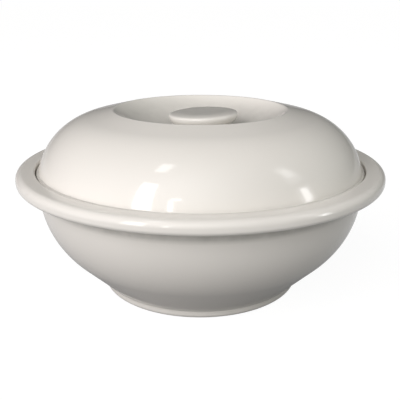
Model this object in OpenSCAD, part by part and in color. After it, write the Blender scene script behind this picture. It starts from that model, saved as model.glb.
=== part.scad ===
// Lidded donburi bowl of glazed porcelain, in millimetres.
// +Z is up and the origin is the centre of the foot ring where it stands on the table.
// The bowl and the lid are turned about Z, and the knob about its own leaning axis.
// The sections are drawn with x as radius and y as height.

/* [Bowl] */
// Outside diameter of the wall's upright stretch under the rim
wall_d = 159.4; // [146:0.2:180]
// Height of the upright stretch, from the wall's arc to the lid's seat
neck_h = 6.8; // [5:0.1:9]
// Radius of the wall's arc, which passes into the upright stretch
wall_arc_r = 44.8; // [40:0.1:50]
// Slope of the straight lower wall, in degrees from the table
wall_slope = 44.3; // [40:0.1:48]
// Thickness of the wall
wall_t = 5; // [4:0.1:6.5]
// Thickness of the floor
floor_t = 5.6; // [4.5:0.1:8]
// Radius of the inside curve between floor and wall
floor_curve_r = 24; // [8:1:30]

/* [Foot ring] */
// Outside diameter where the ring meets the wall
foot_d = 100; // [92:0.5:106]
// Height of the ring outside
foot_h = 4.1; // [3.8:0.1:6]
// How far the ring draws in on each side from the wall to the table
foot_taper = 1.8; // [0.5:0.1:3]
// Width of the ring at the table
foot_w = 5; // [4:0.1:7]
// Depth of the hollow under the floor
foot_hollow = 3; // [2:0.1:3.6]
// Rounding of the ring's edges at the table
foot_edge_r = 1; // [0.5:0.1:1.4]
// Radius of the curve between the ring and the hollow
foot_curve_r = 1.6; // [0.8:0.1:2]
// Radius of the curve between the ring and the wall
foot_join_r = 3; // [1:0.1:5]

/* [Rim] */
// Width of the ledge that carries the lid
seat_w = 6.2; // [5.4:0.1:8]
// Rounding of the ledge's inner edge
seat_edge_r = 0.8; // [0.3:0.1:1.5]
// Width of the rim from its inner edge to its outermost line
rim_w = 9.1; // [8.2:0.1:12]
// Height of the rim's outermost line above the seat
rim_line_h = 0.3; // [0:0.1:1.5]
// Radius of the rim's rounded edge
rim_edge_r = 3.2; // [2.8:0.1:4]
// Slope of the rim's top, which rises outwards, in degrees
rim_slope = 0.4; // [0:0.1:8]
// Rounding of the rim's inner edge
rim_inner_r = 0.8; // [0.3:0.1:1.4]
// Radius of the curve between the rim and the wall under it
rim_curve_r = 2; // [0.8:0.1:3]

/* [Lid] */
// Gap all round between the lid's lip and the rim
lid_gap = 0.7; // [0.4:0.1:1.5]
// How far the lip stands out from the dome at seat level
lip_w = 0.4; // [0.2:0.1:1.2]
// Height of the lip above the seat
lip_h = 2.4; // [1.4:0.1:3]
// Rounding of the lip's edges
lip_edge_r = 0.5; // [0.2:0.1:0.6]
// Thickness of the lid
lid_t = 4.8; // [4:0.1:6]
// Radius of the dome's shoulder
shoulder_r = 32.8; // [29:0.1:37]
// How far the middle of the shoulder's arc lies below the seat
shoulder_drop = 4.8; // [2:0.1:7]
// Slope of the crown between shoulder and crest, in degrees
crown_slope = 13.4; // [9:0.1:17]
// Width of the crown between shoulder and crest
crown_w = 12.7; // [9:0.1:17]
// Rounding of the crest round the well
crest_edge_r = 1.6; // [0.8:0.1:2.5]
// Radius of the groove under the crest, inside the lid
crest_groove_r = 4; // [1:0.1:6]
// Depth of the well below the crest
well_depth = 10.7; // [9:0.1:13]
// Flat of the well's floor left bare round the knob's stem
well_flat = 1.6; // [0.5:0.1:4]

/* [Knob] */
// Diameter of the button
knob_d = 34; // [29:0.1:38]
// Diameter of the flat on top of the button
knob_flat_d = 22; // [16:0.1:26]
// Radius of the crown between the flat and the edge
knob_crown_r = 21.7; // [16:0.1:30]
// Radius of the edge above the button's widest line
knob_edge_r = 1.2; // [0.6:0.1:2]
// Radius of the edge below the button's widest line
knob_under_r = 3.7; // [2.5:0.1:4.5]
// Diameter of the stem
knob_stem_d = 18; // [14:0.1:22]
// Height of the stem between its foot and the button
knob_stem_h = 4; // [3.4:0.1:5]
// Radius of the curves at both ends of the stem
knob_curve_r = 1.2; // [0.6:0.1:1.5]
// How far the hand-set knob stands off the lid's axis, towards +X
knob_offset = 1.7; // [0:0.1:3]
// Lean of the hand-set knob, raising its +X side, in degrees
knob_tilt = 2.2; // [0:0.1:3]

/* [Hidden] */
$fn = 180;
// Arcs cut this far into the faces that they run into
bite = 0.01;
// Reach of cutting shapes past what they cut
past = 1;
glaze = "#ebe7e2";

wall_r = wall_d / 2;
foot_r = foot_d / 2;
foot_base_r = foot_r - foot_taper;
foot_in_r = foot_base_r - foot_w;
// Outward normal of the straight lower wall, and where the wall's arc passes into it
wall_n = [sin(wall_slope), -cos(wall_slope)];
wall_end_r = wall_r - wall_arc_r + wall_arc_r * wall_n.x;
wall_c = [wall_r - wall_arc_r, foot_h + (wall_end_r - foot_r) * tan(wall_slope) - wall_arc_r * wall_n.y];
seat_h = wall_c.y + neck_h;
floor_h = foot_hollow + floor_t;
// The curve in the hollow leaves room for the ring's rounded edge
foot_bend_r = min(foot_curve_r, foot_hollow - foot_edge_r);

inside_r = wall_r - wall_t;
rim_in_r = inside_r + seat_w;
rim_r = rim_in_r + rim_w;
rim_c = [rim_r - rim_edge_r, seat_h + rim_line_h];
rim_under_h = rim_c.y - rim_edge_r;
// Where the sloping top runs into the rounded edge, and its height at the inner edge
rim_top = rim_c + (rim_edge_r - bite) * [-sin(rim_slope), cos(rim_slope)];
rim_in_h = rim_top.y - (rim_top.x - rim_in_r) * tan(rim_slope);

lip_r = rim_in_r - lid_gap;
dome_r = lip_r - lip_w;
lip_round_r = min(lip_edge_r, lip_w);
shoulder_c = [dome_r - shoulder_run(shoulder_r), seat_h - shoulder_drop];
// Inside of the lid at seat level, and its lean from upright there
lid_in_r = shoulder_c.x + shoulder_run(shoulder_r - lid_t);
lid_lean = asin(shoulder_drop / (shoulder_r - lid_t));
// Outward normal of the crown, and its direction away from the axis
crown_n = [sin(crown_slope), cos(crown_slope)];
crown_t = [cos(crown_slope), -sin(crown_slope)];
crown_end = shoulder_c + shoulder_r * crown_n;
crest = crown_end - crown_w / crown_t.x * crown_t;

knob_r = knob_d / 2;
knob_stem_r = knob_stem_d / 2;
knob_line_h = knob_stem_h + knob_under_r;
knob_edge_c = [knob_r - knob_edge_r, knob_line_h];
knob_flat_r = knob_flat_d / 2;
// The crown's arc runs into the edge's arc, whose centre lies this far from its own
knob_crown_reach = knob_crown_r - knob_edge_r + bite;
knob_crown_run = knob_edge_c.x - knob_flat_r;
knob_crown_c = [knob_flat_r, knob_line_h - sqrt(pow(knob_crown_reach, 2) - pow(knob_crown_run, 2))];
knob_top_h = knob_crown_c.y + knob_crown_r;
// The leaning stem is let down this far, so that its foot meets the well's floor all round
knob_sink = (knob_stem_r + knob_curve_r) * sin(knob_tilt) + bite;

// The well's side is an arc from its flat floor up to the crest
well_floor_h = crest.y - well_depth;
well_flat_r = knob_stem_r + knob_curve_r + knob_offset + well_flat;
well_run = crest.x - well_flat_r;
well_arc_r = (pow(well_run, 2) + pow(well_depth, 2)) / (2 * well_depth);
well_c = [well_flat_r, well_floor_h + well_arc_r];

function aim(angle) = [cos(angle), sin(angle)];

// How far an arc of radius r about the shoulder's middle reaches out at seat level
function shoulder_run(r) = sqrt(pow(r, 2) - pow(shoulder_drop, 2));

// Radius of the straight lower wall's face at height h, drawn in by inset
function lower_wall_r(inset, h) =
    let (end = wall_c + (wall_arc_r - inset) * wall_n)
    end.x - (end.y - h) / tan(wall_slope);

// Point that lies inset below the crown's line and inset outside the well's arc
function below_crest(inset) =
    let (drop = (well_c - crest) * crown_n + inset)
    well_c - drop * crown_n + sqrt(pow(well_arc_r + inset, 2) - pow(drop, 2)) * crown_t;

// Sliver between a corner and the arc that rounds it, carried past the corner's two edges.
// The edges leave the corner at angles a1 < a2.
module corner(p, a1, a2, r) {
    half = (a2 - a1) / 2;
    middle = aim((a1 + a2) / 2);
    reach = r / tan(half);
    c = p + (r - bite) / sin(half) * middle;
    difference() {
        polygon([
            p - past / sin(half) * middle,
            p + reach * aim(a1) + past * aim(a1 - 90),
            c,
            p + reach * aim(a2) + past * aim(a2 + 90),
        ]);
        translate(c) circle(r);
    }
}

// Everything inside the wall's outer face, drawn in by inset, from height low up to the seat
module inside_wall(inset, low) {
    arc_r = wall_arc_r - inset;
    end = wall_c + (arc_r - bite) * wall_n;
    polygon([[0, low], [lower_wall_r(inset + bite, low), low], end, [end.x, seat_h], [0, seat_h]]);
    intersection() {
        translate(wall_c) circle(arc_r);
        translate([wall_c.x, end.y - past]) square([arc_r, seat_h - end.y + past]);
    }
    translate([0, wall_c.y]) square([wall_c.x + arc_r - bite, neck_h]);
}

// Thick rolled rim, with the curve that runs from its underside into the upright wall or into the wall's arc
module rim_section() {
    curve_h = rim_under_h - rim_curve_r + bite;
    middle = [wall_c.x, max(wall_c.y, curve_h)];
    drop = middle.y - curve_h;
    span = wall_arc_r + rim_curve_r - 2 * bite;
    curve_c = middle + [sqrt(pow(span, 2) - pow(drop, 2)), -drop];
    touch = middle + (wall_arc_r - 2 * bite) / span * (curve_c - middle);
    difference() {
        union() {
            translate(rim_c) circle(rim_edge_r);
            polygon([
                [inside_r, touch.y],
                touch,
                curve_c,
                [curve_c.x, rim_under_h + bite],
                [rim_c.x, rim_under_h + bite],
                rim_c + [rim_edge_r - bite, 0],
                rim_top,
                [rim_in_r, rim_in_h],
                [rim_in_r, seat_h],
                [inside_r, seat_h],
            ]);
        }
        translate(curve_c) circle(rim_curve_r);
    }
}

// Foot ring, whose outer face runs on past the wall's face into the wall
module foot_section() {
    top_h = foot_h + past;
    top_r = foot_base_r + top_h / foot_h * foot_taper;
    difference() {
        polygon([[foot_in_r, 0], [foot_base_r, 0], [top_r, top_h], [foot_in_r, top_h]]);
        corner([foot_in_r, 0], 0, 90, foot_edge_r);
        corner([foot_base_r, 0], atan2(foot_h, foot_taper), 180, foot_edge_r);
    }
    corner([foot_in_r, foot_hollow], 180, 270, foot_bend_r);
    corner([foot_r, foot_h], atan2(foot_h, foot_taper) - 180, wall_slope, foot_join_r);
}

// Space inside the bowl, with the ledge for the lid
module bowl_hollow() {
    difference() {
        inside_wall(wall_t, floor_h);
        corner([lower_wall_r(wall_t + bite, floor_h), floor_h], wall_slope, 180, floor_curve_r);
    }
    translate([0, seat_h]) square([rim_in_r, rim_w]);
    corner([inside_r - bite, seat_h], 270, 360, seat_edge_r);
}

module bowl() {
    color(glaze)
    rotate_extrude()
    difference() {
        union() {
            inside_wall(0, foot_hollow);
            foot_section();
            rim_section();
        }
        bowl_hollow();
        corner([rim_in_r, rim_in_h], -90, rim_slope, rim_inner_r);
    }
}

// Sliver between the crest and the arc that rounds it, carried past the crown and into the well
module crest_corner(inset, round_r) {
    c = below_crest(inset + round_r - bite);
    well_n = (well_c - c) / norm(well_c - c);
    difference() {
        polygon([
            below_crest(inset) + past * (crown_n + well_n),
            c + (round_r + past) * crown_n,
            c,
            c + (round_r + past) * well_n,
        ]);
        translate(c) circle(round_r);
    }
}

// Everything under the dome and outside the well, drawn in by inset, with the crest rounded
module under_dome(inset, round_r) {
    arc_r = shoulder_r - inset;
    end = shoulder_c + (arc_r - bite) * crown_n;
    difference() {
        union() {
            polygon([[0, seat_h], [end.x, seat_h], end, [0, end.y + end.x * tan(crown_slope)]]);
            intersection() {
                translate(shoulder_c) circle(arc_r);
                translate([shoulder_c.x, seat_h]) square(arc_r);
            }
        }
        translate([0, well_floor_h - inset]) square([well_flat_r, crest.y]);
        translate(well_c) circle(well_arc_r + inset);
        crest_corner(inset, round_r);
    }
}

// Low lip round the lid's edge
module lip_section() {
    difference() {
        translate([lid_in_r, seat_h]) square([lip_r - lid_in_r, lip_h]);
        corner([lip_r, seat_h + lip_h], 180, 270, lip_round_r);
        corner([lip_r, seat_h], 90, 180, lip_round_r);
    }
}

module lid() {
    color(glaze)
    rotate_extrude()
    difference() {
        union() {
            under_dome(0, crest_edge_r);
            lip_section();
        }
        under_dome(lid_t, crest_groove_r);
        corner([lid_in_r, seat_h], 0, 90 + lid_lean, lip_edge_r);
    }
}

// Button on a short stem
module knob_section() {
    under_c = [knob_r - knob_under_r, knob_line_h];
    under_h = knob_stem_h + bite;
    edge_dir = (knob_edge_c - knob_crown_c) / knob_crown_reach;
    // stem and its foot, then the button's core
    square([knob_stem_r, knob_line_h]);
    corner([knob_stem_r, 0], 0, 90, knob_curve_r);
    corner([knob_stem_r, under_h], -90, 0, knob_curve_r);
    polygon([
        [0, under_h],
        [under_c.x, under_h],
        under_c,
        knob_edge_c,
        [knob_flat_r, knob_top_h - bite],
        [0, knob_top_h - bite],
    ]);
    // rounded edge below and above the widest line, and the crown over it
    intersection() {
        translate(under_c) circle(knob_under_r);
        translate([under_c.x - past, knob_stem_h]) square([knob_under_r + past, knob_under_r]);
    }
    intersection() {
        translate(knob_edge_c) circle(knob_edge_r);
        translate([knob_edge_c.x - knob_edge_r, knob_line_h]) square(2 * knob_edge_r);
    }
    intersection() {
        translate(knob_crown_c) circle(knob_crown_r);
        polygon([
            [knob_flat_r - past, knob_line_h],
            knob_edge_c,
            knob_edge_c + 2 * knob_edge_r * edge_dir,
            [knob_flat_r - past, knob_top_h + past],
        ]);
    }
}

module lid_knob() {
    color(glaze)
    difference() {
        translate([knob_offset, 0, well_floor_h - knob_sink])
        rotate([0, -knob_tilt, 0])
        rotate_extrude()
        knob_section();
        translate([0, 0, well_floor_h - knob_d]) cylinder(h = knob_d, r = knob_d);
    }
}

bowl();
lid();
lid_knob();
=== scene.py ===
import math

import bpy
import numpy as np
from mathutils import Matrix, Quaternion, Vector


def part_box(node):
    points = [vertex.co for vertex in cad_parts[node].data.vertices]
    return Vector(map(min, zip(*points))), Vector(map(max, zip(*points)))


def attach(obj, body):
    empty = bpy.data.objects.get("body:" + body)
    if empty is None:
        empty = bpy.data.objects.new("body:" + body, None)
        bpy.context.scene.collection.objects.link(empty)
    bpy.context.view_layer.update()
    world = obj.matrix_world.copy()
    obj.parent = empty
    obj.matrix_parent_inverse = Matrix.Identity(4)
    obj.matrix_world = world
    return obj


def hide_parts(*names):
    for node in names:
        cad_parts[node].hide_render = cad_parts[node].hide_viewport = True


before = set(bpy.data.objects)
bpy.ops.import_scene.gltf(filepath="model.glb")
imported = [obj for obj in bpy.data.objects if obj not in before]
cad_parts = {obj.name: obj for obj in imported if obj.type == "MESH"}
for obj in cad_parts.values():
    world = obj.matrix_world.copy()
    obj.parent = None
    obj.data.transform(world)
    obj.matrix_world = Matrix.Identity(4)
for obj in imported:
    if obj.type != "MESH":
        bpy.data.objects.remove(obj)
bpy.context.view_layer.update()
mm = 0.001
print("frame loaded:", ", ".join(sorted(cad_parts)))

# sizes that the frame fixes, in millimetres
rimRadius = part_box("bowl")[1].x / mm
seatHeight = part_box("lid")[0].z / mm
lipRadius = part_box("lid")[1].x / mm
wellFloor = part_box("lid_knob")[0].z / mm

# the photograph's viewpoint: metres from the bowl's axis, to its left and above the table, degrees down,
# and pixels of focal length
viewpoint = {"distance": 0.300, "aside": 0.00017, "height": 0.1398, "pitch": 18.19, "focal": 613.9,
             "picture": 400, "sensor": 36.0}


def setCamera():
    # the lens in millimetres is the focal length in pixels times the sensor's width over the picture's
    camera = bpy.data.objects.new("photoCamera", bpy.data.cameras.new("photoCamera"))
    camera.data.sensor_width = viewpoint["sensor"]
    camera.data.lens = viewpoint["focal"] * viewpoint["sensor"] / viewpoint["picture"]
    camera.location = (-viewpoint["aside"], -viewpoint["distance"], viewpoint["height"])
    camera.rotation_euler = (math.radians(90 - viewpoint["pitch"]), 0, 0)
    bpy.context.scene.collection.objects.link(camera)
    bpy.context.scene.camera = camera


setCamera()
print("camera set")

# how finely the turned pieces are cut: step, tightRadius and weld are millimetres along the profile, bend and
# tightBend are degrees, and turns are cuts round the axis
fineness = {"step": 1.1, "bend": 5.0, "tightBend": 9.0, "tightRadius": 1.5, "turns": 272, "weld": 0.02}


def aim(angle):
    # direction at an angle in degrees, with x as radius and y as height
    return np.array([math.cos(math.radians(angle)), math.sin(math.radians(angle))])


def point(radius, height):
    # a profile's end or sharp corner, written as an arc of no size
    return np.array([radius, height]), 0.0, 0.0, 0.0


def arc(centre, radius, start, end):
    return np.array(centre), radius, start, end


def rounded(corner, headingIn, headingOut, radius):
    # arc that touches both straight stretches at a corner: it starts radius x tan(half the turn) before it
    turn = headingOut - headingIn
    side = math.copysign(90, turn)
    reach = radius * math.tan(math.radians(abs(turn) / 2))
    centre = np.array(corner) - reach * aim(headingIn) + radius * aim(headingIn + side)
    return centre, radius, headingIn - side, headingOut - side


def drawProfile(arcs):
    # rows of radius and height along the arcs in order, with straight stretches between them
    rows = []
    for centre, radius, start, end in arcs:
        bend = fineness["tightBend"] if radius < fineness["tightRadius"] else fineness["bend"]
        sweep = abs(end - start)
        cuts = math.ceil(max(sweep / bend, math.radians(sweep) * radius / fineness["step"]))
        angles = np.radians(np.linspace(start, end, cuts + 1))
        along = centre + radius * np.stack([np.cos(angles), np.sin(angles)], 1)
        if rows:
            last = rows[-1][-1]
            pieces = math.ceil(np.linalg.norm(along[0] - last) / fineness["step"])
            share = np.linspace(0, 1, pieces + 1)[1:-1, None]
            rows.append(np.vstack([last + share * (along[0] - last), along]))
        else:
            rows.append(along)
    profile = np.vstack(rows)
    apart = np.linalg.norm(np.diff(profile, axis=0), axis=1) > fineness["weld"]
    return profile[np.r_[True, apart]]


def bendAlong(profile, reach):
    # turn of the profile in radians per millimetre, blurred over reach: above 0 on edges, below 0 in hollows
    steps = np.diff(profile, axis=0)
    heading = np.unwrap(np.arctan2(steps[:, 1], steps[:, 0]))
    turn = np.r_[0, np.diff(heading), 0]
    along = np.r_[0, np.cumsum(np.linalg.norm(steps, axis=1))]
    weight = np.exp(-0.5 * ((along[:, None] - along[None, :]) / reach) ** 2)
    return weight @ turn / (reach * math.sqrt(2 * math.pi))


def turnedPiece(name, profile, marks, place=None):
    # surface of revolution: (radius(u) cos v, radius(u) sin v, height(u)), u along the profile and v round
    # the axis. The profile's two ends lie on the axis, and the clay is on its left, so faces point outwards.
    turns = fineness["turns"]
    rings = len(profile) - 2
    v = np.linspace(0, 2 * math.pi, turns, endpoint=False)
    radius, height = profile[1:-1, 0, None], profile[1:-1, 1, None]
    grid = np.stack([radius * np.cos(v), radius * np.sin(v), height + 0 * v], -1).reshape(-1, 3)
    poles = np.array([[0, 0, profile[0, 1]], [0, 0, profile[-1, 1]]])
    verts = np.vstack([grid, poles])
    if place is not None:
        verts = place(verts)
    here = np.arange(turns)
    after = (here + 1) % turns
    row = np.arange(rings - 1)[:, None] * turns
    quads = np.stack([row + here, row + after, row + turns + after, row + turns + here], -1).reshape(-1, 4)
    top = (rings - 1) * turns
    first = np.stack([np.full(turns, rings * turns), after, here], 1)
    last = np.stack([np.full(turns, rings * turns + 1), top + here, top + after], 1)
    mesh = bpy.data.meshes.new(name)
    mesh.from_pydata((verts * mm).tolist(), [], quads.tolist() + first.tolist() + last.tolist())
    mesh.polygons.foreach_set("use_smooth", np.ones(len(mesh.polygons), bool))
    for mark, values in marks.items():
        whole = np.r_[np.repeat(values[1:-1], turns), values[0], values[-1]]
        mesh.attributes.new(mark, "FLOAT", "POINT").data.foreach_set("value", whole.astype(np.float32))
    mesh.validate()
    piece = bpy.data.objects.new(name, mesh)
    bpy.context.scene.collection.objects.link(piece)
    return piece


def glazeMarks(profile, values, bare):
    # how far the glaze has gathered in hollows, where its darker tone is also painted shade, run thin on
    # edges, or been wiped off, each from 0 to 1
    bend = bendAlong(profile, values["flow"])
    pooledAndShade = np.clip(-bend * values["poolingAndShade"], 0, 1)
    thin = np.clip(bend * values["thinning"], 0, 1)
    return {"pooledAndShade": pooledAndShade, "thin": thin, "bare": bare}


def ease(low, high, x):
    # 0 below low, 1 above high, with a smooth climb between
    t = np.clip((x - low) / (high - low), 0, 1)
    return t * t * (3 - 2 * t)


# how the glaze lies: blur of its flow in millimetres, and how strongly it pools, a darker tone that is also
#  painted shade in hollows, and thins for each radian a millimetre
glazeFlow = {"flow": 0.9, "poolingAndShade": 0.7, "thinning": 1.5}

# bowl, in millimetres and degrees; wiped, ledgeBare and underRimShade are where a mark starts and where it ends
bowlShape = {
    "rimWidth": 9.1, "rimEdge": 3.2, "rimLower": 2.3, "rimLine": 0.3, "rimSlope": 0.4,
    "rimInner": 0.8, "rimCurve": 2.0,
    "seatWidth": 6.2, "seatEdge": 0.8, "seatCorner": 0.5, "neck": 6.8,
    "wallThick": 5.0, "wallArc": 44.8, "wallSlope": 44.3, "floorThick": 5.6, "floorCurve": 24.0,
    "footRadius": 50.0, "footHeight": 4.1, "footTaper": 0.6, "footWidth": 6.2, "footRound": 2.4,
    "footHollow": 3.0, "footEdge": 1.0, "footCurve": 1.6, "footJoin": 1.6,
    # the last pair gives depths under the rim where the painted shade is full and where it has faded
    "wiped": (0.1, 0.7), "ledgeBare": (0.30, 0.42), "underRimShade": (4.4, 7.2),
}


def underRim(s):
    # radius of the upright wall under the rim, and level of the rim's underside
    wall = rimRadius - s["rimWidth"] - s["seatWidth"] + s["wallThick"]
    return wall, seatHeight + s["rimLine"] - s["rimEdge"]


def bowlProfile(s):
    wall, rimUnder = underRim(s)
    inside = wall - s["wallThick"]
    rimIn = inside + s["seatWidth"]
    wallCentre = np.array([wall - s["wallArc"], seatHeight - s["neck"]])
    slope = s["wallSlope"]
    footBase = s["footRadius"] - s["footTaper"]
    footIn = footBase - s["footWidth"]
    footLean = math.degrees(math.atan2(s["footHeight"], s["footTaper"]))
    rimCentre = np.array([rimRadius - s["rimEdge"], seatHeight + s["rimLine"]])
    rimTop = rimCentre + s["rimEdge"] * aim(90 + s["rimSlope"])
    rimInHeight = rimTop[1] - (rimTop[0] - rimIn) * math.tan(math.radians(s["rimSlope"]))
    floor = s["footHollow"] + s["floorThick"]
    lowerEnd = wallCentre + (s["wallArc"] - s["wallThick"]) * aim(slope - 90)
    floorCorner = lowerEnd[0] - (lowerEnd[1] - floor) / math.tan(math.radians(slope))
    return drawProfile([
        point(0, s["footHollow"]),
        rounded((footIn, s["footHollow"]), 0, -90, s["footCurve"]),
        rounded((footIn, 0), -90, 0, s["footEdge"]),
        rounded((footBase, 0), 0, footLean, s["footRound"]),
        rounded((s["footRadius"], s["footHeight"]), footLean, slope, s["footJoin"]),
        arc(wallCentre, s["wallArc"], slope - 90, 0),
        rounded((wall, rimUnder), 90, 0, s["rimCurve"]),
        rounded((rimRadius, rimUnder), 0, 90, s["rimLower"]),
        arc(rimCentre, s["rimEdge"], 0, 90 + s["rimSlope"]),
        rounded((rimIn, rimInHeight), 180 + s["rimSlope"], 270, s["rimInner"]),
        rounded((rimIn, seatHeight), 270, 180, s["seatCorner"]),
        rounded((inside, seatHeight), 180, 270, s["seatEdge"]),
        arc(wallCentre, s["wallArc"] - s["wallThick"], 0, slope - 90),
        rounded((floorCorner, floor), slope - 180, -180, s["floorCurve"]),
        point(0, floor),
    ])


def buildBowl():
    s = bowlShape
    profile = bowlProfile(s)
    radius, height = profile.T
    # the ring's standing face and the ledge under the lid are wiped clean
    standing = 1 - ease(*s["wiped"], height)
    seat = rimRadius - s["rimWidth"] - s["seatWidth"] / 2
    level = np.abs(height - seatHeight) < s["wiped"][1] / 2
    onLedge = level * (1 - ease(*s["ledgeBare"], np.abs(radius - seat) / s["seatWidth"]))
    marks = glazeMarks(profile, glazeFlow, np.maximum(standing, onLedge))
    # painted shade: the dark gathered-glaze tone is laid on the wall just under the rim, fading downwards,
    # for the rim's shadow
    wall, rimUnder = underRim(s)
    outside = (height < rimUnder) & (radius > wall - s["wallThick"] / 2)
    paintedRimShade = outside * (1 - ease(*s["underRimShade"], rimUnder - height))
    marks["pooledAndShade"] = np.maximum(marks["pooledAndShade"], paintedRimShade)
    piece = turnedPiece("bowl_glazed", profile, marks)
    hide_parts("bowl")
    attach(piece, "bowl")
    return piece


bowlPiece = buildBowl()
print("bowl turned:", len(bowlPiece.data.polygons), "faces")

# lid, in millimetres and degrees; wiped is where the glaze starts and where it is full, wellShade is the
# share of
#  the dark gathered-glaze tone painted as shade in the well, and wellFade are shares of the well's depth
lidShape = {
    "lipWidth": 0.4, "lipHeight": 2.4, "lipEdge": 0.4, "lipCrease": 0.3, "thick": 4.8,
    "shoulder": 32.8, "shoulderDrop": 4.8, "crownSlope": 13.4, "crownWidth": 12.7,
    "crestEdge": 1.6, "crestGroove": 4.0, "wellDepth": 10.7, "wellFlat": 13.5,
    "wellShade": 0.4, "wellFade": (0.5, 1.0), "wiped": (0.1, 0.5),
}


def lidProfile(s):
    # the shoulder's arc is centred below the seat; inside, it meets the seat's level at an angle of lean
    low = seatHeight - s["shoulderDrop"]
    domeRun = math.sqrt(s["shoulder"] ** 2 - s["shoulderDrop"] ** 2)
    shoulderCentre = np.array([lipRadius - s["lipWidth"] - domeRun, low])
    inArc = s["shoulder"] - s["thick"]
    lean = math.degrees(math.asin(s["shoulderDrop"] / inArc))
    inside = shoulderCentre[0] + inArc * math.cos(math.radians(lean))
    inEnd = lean + math.degrees(s["lipEdge"] / inArc)
    crownNormal, crownAlong = aim(90 - s["crownSlope"]), aim(-s["crownSlope"])
    crest = shoulderCentre + s["shoulder"] * crownNormal - s["crownWidth"] / crownAlong[0] * crownAlong
    # the well's side is an arc that leaves the floor level and ends at the crest
    wellRun = crest[0] - s["wellFlat"]
    wellArc = (wellRun ** 2 + s["wellDepth"] ** 2) / (2 * s["wellDepth"])
    wellCentre = np.array([s["wellFlat"], wellFloor + wellArc])

    def underCrest(inset):
        # point that lies inset below the crown's line and inset outside the well's arc
        down = (wellCentre - crest) @ crownNormal + inset
        return wellCentre - down * crownNormal + math.sqrt((wellArc + inset) ** 2 - down ** 2) * crownAlong

    def wellAngle(centre):
        # direction from the well's centre to a round's centre, in degrees
        return math.degrees(math.atan2(*(centre - wellCentre)[::-1])) % 360

    groove = underCrest(s["thick"] + s["crestGroove"])
    edge = underCrest(s["crestEdge"])
    crownTurn = 90 - s["crownSlope"]
    lipTop = seatHeight + s["lipHeight"]
    rise = math.degrees(math.asin((lipTop - low) / s["shoulder"]))
    domeAtLip = shoulderCentre[0] + s["shoulder"] * math.cos(math.radians(rise))
    return drawProfile([
        point(0, wellFloor - s["thick"]),
        arc(wellCentre, wellArc + s["thick"], 270, wellAngle(groove)),
        arc(groove, s["crestGroove"], wellAngle(groove) - 180, crownTurn),
        arc(shoulderCentre, inArc, crownTurn, inEnd),
        rounded((inside, seatHeight), lean - 90, 0, s["lipEdge"]),
        rounded((lipRadius, seatHeight), 0, 90, s["lipEdge"]),
        rounded((lipRadius, lipTop), 90, 180, s["lipEdge"]),
        rounded((domeAtLip, lipTop), 180, 90 + rise, s["lipCrease"]),
        arc(shoulderCentre, s["shoulder"], rise, crownTurn),
        arc(edge, s["crestEdge"], crownTurn, wellAngle(edge) - 180),
        arc(wellCentre, wellArc, wellAngle(edge), 270),
        point(0, wellFloor),
    ])


def buildLid():
    s = lidShape
    profile = lidProfile(s)
    height = profile[:, 1]
    marks = glazeMarks(profile, glazeFlow, 1 - ease(*s["wiped"], height - seatHeight))
    # painted shade: the dark gathered-glaze tone is laid on the well's floor, fading up its side
    onTop = np.arange(len(profile)) > np.argmax(height)
    paintedWellShade = s["wellShade"] * onTop * (1 - ease(*s["wellFade"], (height - wellFloor) / s["wellDepth"]))
    marks["pooledAndShade"] = np.maximum(marks["pooledAndShade"], paintedWellShade)
    piece = turnedPiece("lid_glazed", profile, marks)
    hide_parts("lid")
    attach(piece, "lid")
    return piece


lidPiece = buildLid()
print("lid turned:", len(lidPiece.data.polygons), "faces")

# knob, in millimetres and degrees, stuck on by hand a little off the axis and leaning; flareStart is where
#  the arc at the stem's foot starts, and coat is the share of the dark gathered-glaze tone laid all over as
#  painted shade
knobShape = {
    "radius": 17.0, "flat": 11.0, "crown": 21.7, "edge": 1.2, "under": 3.7,
    "stem": 9.0, "stemHeight": 4.0, "stemCurve": 1.2, "flareStart": 262,
    "offset": 1.7, "lean": 2.2, "knobShade": 0.55,
}


def knobProfile(s):
    widest = s["stemHeight"] + s["under"]
    edgeCentre = np.array([s["radius"] - s["edge"], widest])
    # the crown's arc is level at the flat and touches the edge's arc from outside
    run = edgeCentre[0] - s["flat"]
    rise = math.sqrt((s["crown"] - s["edge"]) ** 2 - run ** 2)
    crownCentre = np.array([s["flat"], widest - rise])
    touch = math.degrees(math.atan2(rise, run))
    foot = s["stem"] + s["stemCurve"]
    return drawProfile([
        point(0, 0),
        point(foot, 0),
        arc((foot, s["stemCurve"]), s["stemCurve"], s["flareStart"], 180),
        rounded((s["stem"], s["stemHeight"]), 90, 0, s["stemCurve"]),
        arc((s["radius"] - s["under"], widest), s["under"], -90, 0),
        arc(edgeCentre, s["edge"], 0, touch),
        arc(crownCentre, s["crown"], touch, 90),
        point(0, crownCentre[1] + s["crown"]),
    ])


def setOnLid(verts):
    # leans about Y so that the +X side rises, lets the foot down to the well's floor, and cuts it there
    s = knobShape
    lean = math.radians(s["lean"])
    sink = (s["stem"] + s["stemCurve"]) * math.sin(lean)
    x, y, z = verts.T
    across = x * math.cos(lean) - z * math.sin(lean) + s["offset"]
    up = x * math.sin(lean) + z * math.cos(lean) + wellFloor - sink
    return np.stack([across, y, np.maximum(up, wellFloor)], 1)


def buildKnob():
    profile = knobProfile(knobShape)
    marks = glazeMarks(profile, glazeFlow, np.zeros(len(profile)))
    # painted shade: the whole knob takes part of the dark gathered-glaze tone
    marks["pooledAndShade"] = np.maximum(marks["pooledAndShade"], knobShape["knobShade"])
    piece = turnedPiece("knob_glazed", profile, marks, setOnLid)
    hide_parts("lid_knob")
    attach(piece, "lid")
    return piece


knobPiece = buildKnob()
print("knob turned:", len(knobPiece.data.polygons), "faces")


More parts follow.
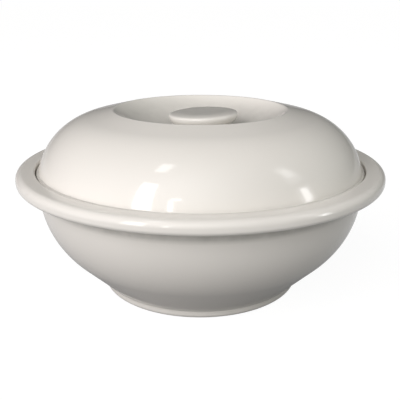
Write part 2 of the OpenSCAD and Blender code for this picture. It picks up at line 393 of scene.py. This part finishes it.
def newGroup(name, inputs, outputs):
    # node group with its sockets: inputs give each name its kind and default, outputs give each name its kind
    group = bpy.data.node_groups.new(name, "ShaderNodeTree")
    for label, (kind, default) in inputs.items():
        socket = group.interface.new_socket(label, in_out="INPUT", socket_type="NodeSocket" + kind)
        socket.default_value = default
    for label, kind in outputs.items():
        group.interface.new_socket(label, in_out="OUTPUT", socket_type="NodeSocket" + kind)
    return group, group.nodes.new("NodeGroupInput"), group.nodes.new("NodeGroupOutput")


def addNode(tree, kind, links=None, **settings):
    # node with its settings and its inputs: a socket is linked, anything else is set as the value
    node = tree.nodes.new("ShaderNode" + kind)
    for label, value in settings.items():
        setattr(node, label, value)
    for key, value in (links or {}).items():
        if isinstance(value, bpy.types.NodeSocket):
            tree.links.new(value, node.inputs[key])
        else:
            node.inputs[key].default_value = value
    return node


def mixColours(tree, factor, low, high):
    # a Mix node's colours are its inputs 6 and 7 and its output 2
    return addNode(tree, "Mix", {0: factor, 6: low, 7: high}, data_type="RGBA").outputs[2]


def mathNode(tree, operation, a, b=0.0, clamp=False):
    return addNode(tree, "Math", {0: a, 1: b}, operation=operation, use_clamp=clamp).outputs[0]


def noise(tree, place, scale, detail):
    return addNode(tree, "TexNoise", {"Vector": place, "Scale": scale, "Detail": detail}).outputs["Fac"]


def spread(tree, value, low, high, start=0.0, end=1.0):
    # value from start to end becomes low to high, and stays there beyond
    links = {"Value": value, "From Min": start, "From Max": end, "To Min": low, "To Max": high}
    return addNode(tree, "MapRange", links).outputs["Result"]


# marks in the glaze: scales are per metre, pairs are lowest and highest, and the rest are shares
glazeMarking = {
    "cloudDetail": 3.0, "glossSpread": (0.75, 1.25),
    "streakScale": 210.0, "streakDetail": 2.0, "uneven": (0.5, 1.2),
    "pinholeChance": 0.985, "pinholeEdge": (0.05, 0.12), "pinholeTone": 0.35,
    "wander": 0.5, "wipedEdge": (0.42, 0.58), "leastBare": 0.02,
    "clayScale": 1500.0, "clayDetail": 4.0, "clayShade": (0.86, 1.06),
}


def makeGlazeTone():
    # colour and roughness of the glaze: faint clouds, a dark grey where the glaze gathered, which is also
    # painted
    #  shade, paler where it ran thin, a few pinholes, and bare clay where it was wiped off
    white = ("Color", (1, 1, 1, 1))
    group, given, out = newGroup("glazeTone", {
        "Glaze": white,
        "Cloud": white,
        "Pooled And Shade": white,
        "Thin": white,
        "Clay": white,
        "Gloss": ("Float", 0.1),
        "Clay Roughness": ("Float", 0.7),
        "Cloud Scale": ("Float", 30.0),
        "Pinhole Scale": ("Float", 300.0),
    }, {"Color": "Color", "Roughness": "Float", "Bare": "Float"})
    g = given.outputs
    m = glazeMarking
    place = addNode(group, "TexCoord").outputs["Object"]
    cloud = noise(group, place, g["Cloud Scale"], m["cloudDetail"])
    streak = noise(group, place, m["streakScale"], m["streakDetail"])
    tone = mixColours(group, cloud, g["Glaze"], g["Cloud"])
    pooledAndShade = addNode(group, "Attribute", attribute_name="pooledAndShade").outputs["Fac"]
    thin = addNode(group, "Attribute", attribute_name="thin").outputs["Fac"]
    bare = addNode(group, "Attribute", attribute_name="bare").outputs["Fac"]
    uneven = spread(group, streak, *m["uneven"])
    tone = mixColours(group, mathNode(group, "MULTIPLY", pooledAndShade, uneven, True), tone, g["Pooled And Shade"])
    tone = mixColours(group, mathNode(group, "MULTIPLY", thin, uneven, True), tone, g["Thin"])
    # pinholes are the middles of the few cells whose own random value is high
    cells = addNode(group, "TexVoronoi", {"Vector": place, "Scale": g["Pinhole Scale"]})
    chance = addNode(group, "SeparateColor", {"Color": cells.outputs["Color"]}).outputs["Red"]
    rare = mathNode(group, "GREATER_THAN", chance, m["pinholeChance"])
    middle = spread(group, cells.outputs["Distance"], m["pinholeTone"], 0.0, *m["pinholeEdge"])
    tone = mixColours(group, mathNode(group, "MULTIPLY", rare, middle), tone, g["Clay"])
    # the wiped edge wanders a little with the streaks
    aside = mathNode(group, "MULTIPLY", mathNode(group, "SUBTRACT", streak, 0.5), m["wander"])
    edge = spread(group, mathNode(group, "ADD", bare, aside), 0.0, 1.0, *m["wipedEdge"])
    wiped = mathNode(group, "MULTIPLY", edge, mathNode(group, "GREATER_THAN", bare, m["leastBare"]))
    grain = noise(group, place, m["clayScale"], m["clayDetail"])
    shade = spread(group, grain, *m["clayShade"])
    clay = addNode(group, "VectorMath", {0: g["Clay"], 1: shade}, operation="MULTIPLY").outputs[0]
    group.links.new(mixColours(group, wiped, tone, clay), out.inputs["Color"])
    gloss = mathNode(group, "MULTIPLY", g["Gloss"], spread(group, cloud, *m["glossSpread"]))
    rough = addNode(group, "Mix", {0: wiped, 2: gloss, 3: g["Clay Roughness"]}, data_type="FLOAT")
    group.links.new(rough.outputs[0], out.inputs["Roughness"])
    group.links.new(wiped, out.inputs["Bare"])
    return group


# detail of the skin's noises, and the clay grain's scale per metre
skinMarking = {"slowDetail": 1.0, "grainScale": 1800.0, "grainDetail": 3.0}


def makeGlazeSkin():
    # height of the surface in metres: slow waves and fine ripple of the fired glaze, and bare clay's grain
    group, given, out = newGroup("glazeSkin", {
        "Wave Scale": ("Float", 80.0),
        "Wave Depth": ("Float", 1e-5),
        "Ripple Scale": ("Float", 600.0),
        "Ripple Depth": ("Float", 1e-6),
        "Grain Depth": ("Float", 1e-5),
        "Bare": ("Float", 0.0),
    }, {"Height": "Float"})
    g = given.outputs
    m = skinMarking
    place = addNode(group, "TexCoord").outputs["Object"]
    wave = noise(group, place, g["Wave Scale"], m["slowDetail"])
    ripple = noise(group, place, g["Ripple Scale"], m["slowDetail"])
    grain = noise(group, place, m["grainScale"], m["grainDetail"])
    slow = mathNode(group, "MULTIPLY", wave, g["Wave Depth"])
    fast = mathNode(group, "MULTIPLY", ripple, g["Ripple Depth"])
    dry = mathNode(group, "MULTIPLY", grain, g["Grain Depth"])
    rough = mathNode(group, "MULTIPLY", dry, g["Bare"])
    total = mathNode(group, "ADD", mathNode(group, "ADD", slow, fast), rough)
    group.links.new(total, out.inputs["Height"])
    return group


glazeTone = makeGlazeTone()
glazeSkin = makeGlazeSkin()

# the white glaze: colours are linear, scales are per metre and depths are metres
whiteGlaze = {
    "tone": {
        "Glaze": (0.850, 0.820, 0.770, 1), "Cloud": (0.820, 0.793, 0.742, 1),
        # the tone where the glaze gathers is a dark grey: partly the glaze's own, partly painted shade in
        # creases, under the rim, in the well and on the knob
        "Pooled And Shade": (0.54, 0.525, 0.482, 1), "Thin": (0.870, 0.842, 0.796, 1), "Clay": (0.72, 0.66, 0.58, 1),
        "Gloss": 0.10, "Clay Roughness": 0.72, "Cloud Scale": 34.0, "Pinhole Scale": 330.0,
    },
    "skin": {
        "Wave Scale": 70.0, "Wave Depth": 1.4e-5, "Ripple Scale": 520.0, "Ripple Depth": 8e-7,
        "Grain Depth": 6e-5,
    },
    "ior": 1.5,
}


def makeGlaze(name, values):
    material = bpy.data.materials.new(name)
    material.use_nodes = True
    tree = material.node_tree
    shader = tree.nodes["Principled BSDF"]
    shader.inputs["IOR"].default_value = values["ior"]
    tone = addNode(tree, "Group", node_tree=glazeTone)
    skin = addNode(tree, "Group", node_tree=glazeSkin)
    for node, chosen in ((tone, values["tone"]), (skin, values["skin"])):
        for label, value in chosen.items():
            node.inputs[label].default_value = value
    tree.links.new(tone.outputs["Bare"], skin.inputs["Bare"])
    bump = addNode(tree, "Bump", {"Height": skin.outputs["Height"], "Strength": 1.0, "Distance": 1.0})
    tree.links.new(tone.outputs["Color"], shader.inputs["Base Color"])
    tree.links.new(tone.outputs["Roughness"], shader.inputs["Roughness"])
    tree.links.new(bump.outputs["Normal"], shader.inputs["Normal"])
    return material


glaze = makeGlaze("whiteGlaze", whiteGlaze)
for piece in (bowlPiece, lidPiece, knobPiece):
    piece.data.materials.append(glaze)
print("glaze applied")

# studio: sizes in metres, brightness 1 is white. Mirrored in the glaze, the floor fades between two distances
studio = {
    "floor": 12.0, "wall": 9.0, "wallCuts": 96, "floorColour": (0.14, 0.14, 0.14, 1), "floorGlow": 0.93,
    "wallGlow": 1.0, "contact": 0.12, "contactSamples": 8,
    "mirrorFade": (0.25, 0.7), "mirrorGlow": (0.65, 0.30),
}
# flat lamps: azimuth in degrees (0 is in front, plus is to the right), reach from the axis and the other
# sizes in metres, tilt turns the face down, and roll leans the top towards minus azimuth, both in degrees
lamps = {
    "frontWindow": {"azimuth": -38.2, "reach": 1.3, "height": 0.70, "width": 0.295, "tall": 1.20,
                    "tilt": 0, "roll": 3.5, "brightness": 6.0},
    "paneTop": {"azimuth": -15.6, "reach": 1.3, "height": 0.68, "width": 0.160, "tall": 0.09,
                "tilt": 0, "roll": 0, "brightness": 8.0},
    "paneSide": {"azimuth": -19.0, "reach": 1.3, "height": 0.40, "width": 0.080, "tall": 0.48,
                 "tilt": 0, "roll": 0, "brightness": 7.0},
    "skylight": {"azimuth": -49.4, "reach": 0.608, "height": 1.47, "width": 0.170, "tall": 0.38,
                 "tilt": 90, "roll": 17.7, "brightness": 4.5},
    "sideHigh": {"azimuth": 75.8, "reach": 1.3, "height": 1.25, "width": 0.180, "tall": 0.48,
                 "tilt": 0, "roll": -9, "brightness": 2.4},
    "sideHighGlow": {"azimuth": 75.8, "reach": 1.35, "height": 1.28, "width": 0.340, "tall": 0.98,
                     "tilt": 0, "roll": -9, "brightness": 1.2},
    "sideLow": {"azimuth": 72.8, "reach": 1.3, "height": 0.29, "width": 0.145, "tall": 0.48,
                "tilt": 0, "roll": 0, "brightness": 7.0},
    "sideLowGlow": {"azimuth": 72.8, "reach": 1.35, "height": 0.32, "width": 0.340, "tall": 0.64,
                    "tilt": 0, "roll": 0, "brightness": 1.0},
}
# the room's own soft light: each lobe's colour falls as a power of the cosine of the angle from its direction
room = {
    "left": {"azimuth": -60, "elevation": 22, "sharpness": 8.0, "colour": (0.72, 0.67, 0.69)},
    "leftLow": {"azimuth": -70, "elevation": 0, "sharpness": 3.0, "colour": (1.01, 0.94, 0.96)},
    "front": {"azimuth": -15, "elevation": 22, "sharpness": 8.0, "colour": (0.80, 0.80, 0.78)},
    "frontHigh": {"azimuth": -15, "elevation": 48, "sharpness": 8.0, "colour": (1.42, 1.41, 1.38)},
    "right": {"azimuth": 100, "elevation": 22, "sharpness": 8.0, "colour": (0.47, 0.495, 0.46)},
    "back": {"azimuth": 180, "elevation": 35, "sharpness": 3.0, "colour": (0.14, 0.14, 0.14)},
}


def towards(azimuth, elevation):
    # direction from the object, with azimuth 0 along -Y and plus towards +X
    a, e = math.radians(azimuth), math.radians(elevation)
    return Vector((math.sin(a) * math.cos(e), -math.cos(a) * math.cos(e), math.sin(e)))


def addLamp(name, values):
    # a flat rectangle that faces the axis; brightness is its radiance, so its power is that x pi x area
    out = towards(values["azimuth"], 0)
    data = bpy.data.lights.new(name, "AREA")
    data.shape = "RECTANGLE"
    data.size = values["width"]
    data.size_y = values["tall"]
    data.energy = values["brightness"] * math.pi * data.size * data.size_y
    lamp = bpy.data.objects.new(name, data)
    lamp.location = out * values["reach"] + Vector((0, 0, values["height"]))
    upright = (-out).to_track_quat("-Z", "Y")
    tilt = Quaternion((1, 0, 0), -math.radians(values["tilt"]))
    roll = Quaternion((0, 0, 1), math.radians(values["roll"]))
    lamp.rotation_euler = (upright @ tilt @ roll).to_euler()
    lamp.visible_camera = False
    bpy.context.scene.collection.objects.link(lamp)


def emptyMaterial(name):
    # material with nothing but its output node
    material = bpy.data.materials.new(name)
    material.use_nodes = True
    material.node_tree.nodes.remove(material.node_tree.nodes["Principled BSDF"])
    return material


def makeFloorWhite():
    # what the camera and reflections see is lifted to white, but less in reflections far away, and close to
    # the
    #  foot, where an occlusion factor paints a contact shadow into the reflected floor
    material = emptyMaterial("paleFloor")
    tree = material.node_tree
    path = addNode(tree, "LightPath")
    contact = addNode(tree, "AmbientOcclusion", {"Distance": studio["contact"]})
    contact.samples = studio["contactSamples"]
    place = addNode(tree, "NewGeometry").outputs["Position"]
    away = addNode(tree, "VectorMath", {0: place}, operation="LENGTH").outputs["Value"]
    fade = spread(tree, away, *studio["mirrorGlow"], *studio["mirrorFade"])
    mirrored = mathNode(tree, "MAXIMUM", path.outputs["Is Glossy Ray"], path.outputs["Is Transmission Ray"])
    mirrored = mathNode(tree, "MULTIPLY", mathNode(tree, "MULTIPLY", mirrored, contact.outputs["AO"]), fade)
    seen = mathNode(tree, "MULTIPLY", path.outputs["Is Camera Ray"], studio["floorGlow"])
    diffuse = addNode(tree, "BsdfDiffuse", {"Color": studio["floorColour"]})
    glow = addNode(tree, "Emission", {"Strength": mathNode(tree, "MAXIMUM", seen, mirrored)})
    both = addNode(tree, "AddShader", {0: diffuse.outputs[0], 1: glow.outputs[0]})
    tree.links.new(both.outputs[0], tree.nodes["Material Output"].inputs["Surface"])
    return material


def makeWallWhite():
    # plain white: only the camera sees the wall
    material = emptyMaterial("paleWall")
    tree = material.node_tree
    glow = addNode(tree, "Emission", {"Strength": studio["wallGlow"]})
    tree.links.new(glow.outputs[0], tree.nodes["Material Output"].inputs["Surface"])
    return material


def addStage(name, verts, faces, material):
    mesh = bpy.data.meshes.new(name)
    mesh.from_pydata(verts.tolist(), [], faces.tolist())
    mesh.materials.append(material)
    stage = bpy.data.objects.new(name, mesh)
    bpy.context.scene.collection.objects.link(stage)
    return stage


def addFloor():
    # round floor, and a wall far behind it that only the camera sees: radius(cos v, sin v), from the floor up
    v = np.linspace(0, 2 * math.pi, studio["wallCuts"], endpoint=False)
    edge = studio["floor"] * np.stack([np.cos(v), np.sin(v), 0 * v], 1)
    here = np.arange(studio["wallCuts"])
    after = np.roll(here, -1)
    addStage("floor", edge, here[None, :], makeFloorWhite())
    both = np.vstack([edge, edge + (0, 0, studio["wall"])])
    around = np.stack([here, here + len(here), after + len(here), after], 1)
    wall = addStage("backdrop", both, around, makeWallWhite())
    for rays in ("diffuse", "glossy", "transmission", "volume_scatter", "shadow"):
        setattr(wall, "visible_" + rays, False)


def setRoom():
    # light from a direction = sum over the lobes of colour x max(cosine of the angle from the lobe, 0)
    # to the power of sharpness
    world = bpy.data.worlds.new("room")
    world.use_nodes = True
    tree = world.node_tree
    direction = addNode(tree, "TexCoord").outputs["Generated"]
    total = (0.0, 0.0, 0.0)
    for lobe in room.values():
        axis = towards(lobe["azimuth"], lobe["elevation"])
        cosine = addNode(tree, "VectorMath", {0: direction, 1: axis}, operation="DOT_PRODUCT")
        ahead = mathNode(tree, "MAXIMUM", cosine.outputs["Value"], 0.0)
        facing = mathNode(tree, "POWER", ahead, lobe["sharpness"])
        sums = {0: facing, 1: lobe["colour"], 2: total}
        total = addNode(tree, "VectorMath", sums, operation="MULTIPLY_ADD").outputs[0]
    tree.links.new(total, tree.nodes["Background"].inputs["Color"])
    bpy.context.scene.world = world


for lampName, lampValues in lamps.items():
    addLamp(lampName, lampValues)
addFloor()
setRoom()
bpy.context.scene.view_settings.view_transform = "Standard"
print("studio lit by", len(lamps), "lamps")
